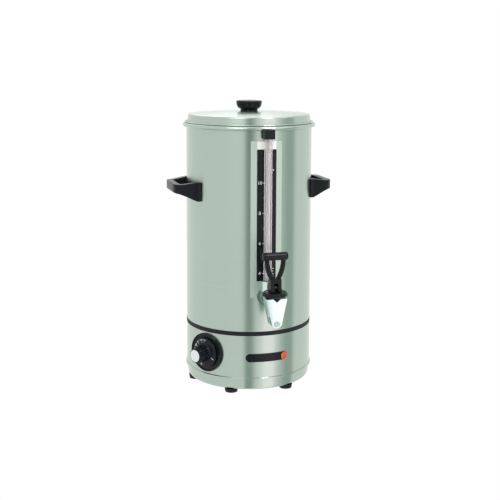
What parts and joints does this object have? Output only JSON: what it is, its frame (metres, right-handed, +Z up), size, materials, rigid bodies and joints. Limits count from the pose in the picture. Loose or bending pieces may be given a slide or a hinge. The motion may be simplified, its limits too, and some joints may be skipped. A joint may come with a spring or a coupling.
{
  "type": "hot water urn",
  "caption": "Stainless cylindrical hot water urn with a lift-off lid, sight glass, sprung lever tap, side handles and a thermostat dial in its base.",
  "frame": {"origin": "on the table under the urn's axis, in the plane of the feet", "axes": "+Z up along the tank's axis, -Y towards the tap, +X to the right of someone facing the tap"},
  "size_m": [0.29, 0.3155, 0.5045],
  "materials": {
    "stainless": "fine vertical brushing, satin",
    "plated_steel": "zinc plated, plain",
    "chrome_plate": "polished plate",
    "brass": "turned",
    "copper": "drawn copper",
    "aluminium_cap": "turned disc",
    "element_sheath": "dull nickel alloy sheath",
    "black_moulding": "moulded phenolic, satin",
    "black_gloss": "smooth moulding",
    "red_moulding": "smooth moulding",
    "orange_lens": "translucent lens",
    "cream_ceramic": "plain insulating body",
    "black_rubber": "matt",
    "silicone": "matt silicone",
    "clear_glass": "clear drawn tube"
  },
  "bodies": {
    "housing": {"tank": "stainless", "insulating_band": "black_rubber", "base_drum": "stainless", "base_pan": "stainless", "foot_1": "black_rubber", "foot_2": "black_rubber", "foot_3": "black_rubber", "foot_4": "black_rubber", "foot_5": "black_rubber", "foot_6": "black_rubber", "foot_screws": "plated_steel", "tie_rods": "plated_steel", "tie_rod_nuts": "plated_steel", "heating_element": "element_sheath", "element_nuts": "brass", "element_gaskets": "silicone", "thermostat_body": "cream_ceramic", "thermostat_pocket": "plated_steel", "thermostat_bulb": "copper", "thermostat_screws": "plated_steel", "capillary_tube": "copper", "cutout_body": "cream_ceramic", "dial_bezel": "black_gloss", "label_plate": "black_gloss", "pilot_lamp_lens": "orange_lens", "pilot_lamp_body": "cream_ceramic", "terminal_block": "cream_ceramic", "wiring_leads": "silicone", "earth_stud": "brass", "cord_gland": "black_moulding", "cord_gland_nut": "black_moulding", "gauge_backplate": "stainless", "scale_strip": "black_gloss", "gauge_glass": "clear_glass", "gauge_top_cap": "black_moulding", "gauge_top_bolt": "plated_steel", "gauge_top_washer": "black_rubber", "gauge_bottom_nut": "chrome_plate", "gauge_bottom_seal": "black_rubber", "tap_body": "chrome_plate", "tap_rose": "chrome_plate", "tap_back_nut": "brass", "tap_bonnet": "black_moulding", "tap_spring": "plated_steel", "handle_left": "black_moulding", "handle_right": "black_moulding", "handle_screws": "plated_steel"},
    "lid": {"lid_shell": "stainless", "lid_locating_ring": "stainless", "lid_knob": "black_moulding", "lid_knob_screw": "plated_steel"},
    "dial": {"control_knob": "black_gloss", "knob_cap": "aluminium_cap", "knob_spindle": "plated_steel"},
    "stem": {"tap_stem": "plated_steel", "tap_seat_cup": "silicone"},
    "lever": {"tap_lever": "black_moulding", "lever_pin": "plated_steel"},
    "reset": {"reset_button": "red_moulding"}
  },
  "joints": [
    {"name": "lid_lift", "type": "slide", "parent": "housing", "child": "lid", "axis": [0, 0, 1], "range_m": [0, 0.1]},
    {"name": "dial_turn", "type": "hinge", "parent": "housing", "child": "dial", "pos_m": [-0.09285, -0.06263, 0.0675], "axis": [0.829, 0.5592, 0], "range_deg": [0, 270]},
    {"name": "stem_lift", "type": "slide", "parent": "housing", "child": "stem", "axis": [0, 0, 1], "range_m": [0, 0.003], "stiffness_N_per_m": 170, "springref_m": -0.004, "deforming": ["tap_spring"]},
    {"name": "lever_tilt", "type": "hinge", "parent": "stem", "child": "lever", "pos_m": [0, -0.164, 0.201], "axis": [1, 0, 0], "range_deg": [0, 35], "stiffness_Nm_per_rad": 0.05},
    {"name": "reset_press", "type": "slide", "parent": "housing", "child": "reset", "axis": [0, 0, 1], "range_m": [0, 0.002], "stiffness_N_per_m": 400}
  ],
  "couplings": [
    {"joint": "lever_tilt", "follows": "stem_lift", "rad_per_m": 203.6}
  ]
}
